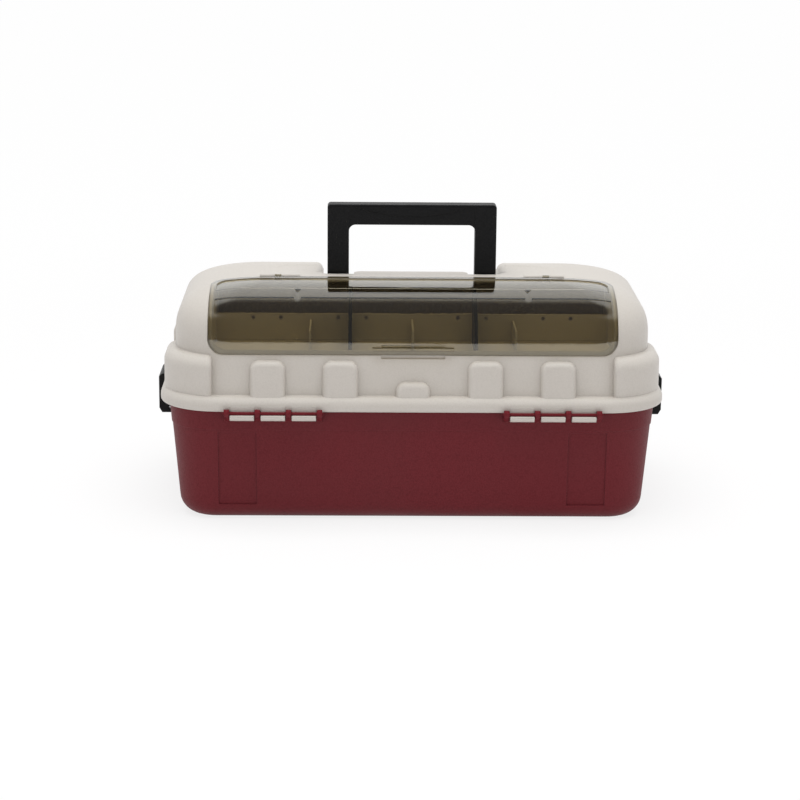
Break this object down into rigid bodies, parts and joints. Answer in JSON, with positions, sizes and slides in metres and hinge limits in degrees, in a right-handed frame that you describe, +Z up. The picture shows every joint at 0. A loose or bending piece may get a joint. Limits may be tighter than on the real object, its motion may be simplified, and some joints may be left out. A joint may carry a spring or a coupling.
{
  "type": "tackle box",
  "caption": "Tackle box with a domed hinged lid, a smoky window cover over a top bay, a fold-down handle, end latches and cantilever trays that rise with the lid.",
  "frame": {"origin": "middle of the flat underside that the box stands on", "axes": "+X along the box, -Y towards the hinge side, +Z up"},
  "size_m": [0.462, 0.2597, 0.27],
  "materials": {
    "burgundy_plastic": "fine moulded grain",
    "cream_plastic": "satin moulded",
    "smoky_clear": "polished, see-through",
    "black_plastic": "satin moulded",
    "tray_plastic": "satin moulded",
    "divider_plastic": "satin moulded",
    "arm_plastic": "satin moulded",
    "steel": "drawn wire"
  },
  "bodies": {
    "base": {"base_tub": "burgundy_plastic", "hinge_rod_left": "burgundy_plastic", "hinge_rod_right": "burgundy_plastic", "anchor_pins": "steel", "latch_pins": "steel"},
    "lid": {"lid_shell": "cream_plastic", "cover_pins": "steel", "bay_dividers_low": "cream_plastic", "bay_dividers_tall": "black_plastic", "handle_pins": "steel", "hanger_left": "arm_plastic", "hanger_right": "arm_plastic", "hanger_pins": "steel", "hanger_screws": "steel"},
    "cover": {"window_cover": "smoky_clear"},
    "handle": {"carry_handle": "black_plastic"},
    "left_latch": {"latch_left": "black_plastic"},
    "right_latch": {"latch_right": "black_plastic"},
    "tray_front": {"front_tray": "tray_plastic", "front_tray_dividers": "divider_plastic"},
    "tray_rear": {"rear_tray": "tray_plastic", "rear_tray_dividers": "divider_plastic"},
    "left_arm": {"swing_arm_left": "arm_plastic", "arm_pins_left": "steel"},
    "right_arm": {"swing_arm_right": "arm_plastic", "arm_pins_right": "steel"}
  },
  "joints": [
    {"name": "lid_hinge", "type": "hinge", "parent": "base", "child": "lid", "pos_m": [0, -0.1285, 0.1032], "axis": [1, 0, 0], "range_deg": [0, 100]},
    {"name": "cover_hinge", "type": "hinge", "parent": "lid", "child": "cover", "pos_m": [0, -0.032, 0.20715], "axis": [-1, 0, 0], "range_deg": [0, 110]},
    {"name": "handle_pivot", "type": "hinge", "parent": "lid", "child": "handle", "pos_m": [0, -0.006, 0.193], "axis": [-1, 0, 0], "range_deg": [0, 90]},
    {"name": "left_latch_pivot", "type": "hinge", "parent": "base", "child": "left_latch", "pos_m": [-0.221, 0, 0.082], "axis": [0, -1, 0], "range_deg": [0, 100]},
    {"name": "right_latch_pivot", "type": "hinge", "parent": "base", "child": "right_latch", "pos_m": [0.221, 0, 0.082], "axis": [0, 1, 0], "range_deg": [0, 100]},
    {"name": "front_tray_link", "type": "hinge", "parent": "lid", "child": "tray_front", "pos_m": [0, -0.0755, 0.10716], "axis": [1, 0, 0], "range_deg": [-100, 0]},
    {"name": "rear_tray_link", "type": "hinge", "parent": "lid", "child": "tray_rear", "pos_m": [0, 0.032, 0.1152], "axis": [1, 0, 0], "range_deg": [-100, 0]},
    {"name": "left_arm_link", "type": "hinge", "parent": "base", "child": "left_arm", "pos_m": [0, -0.0885, 0.0912], "axis": [1, 0, 0], "range_deg": [0, 100]},
    {"name": "right_arm_link", "type": "hinge", "parent": "base", "child": "right_arm", "pos_m": [0, -0.0885, 0.0912], "axis": [1, 0, 0], "range_deg": [0, 100]}
  ],
  "couplings": [
    {"joint": "front_tray_link", "follows": "lid_hinge", "ratio": -1},
    {"joint": "rear_tray_link", "follows": "lid_hinge", "ratio": -1},
    {"joint": "left_arm_link", "follows": "lid_hinge", "ratio": 1},
    {"joint": "right_arm_link", "follows": "lid_hinge", "ratio": 1}
  ]
}
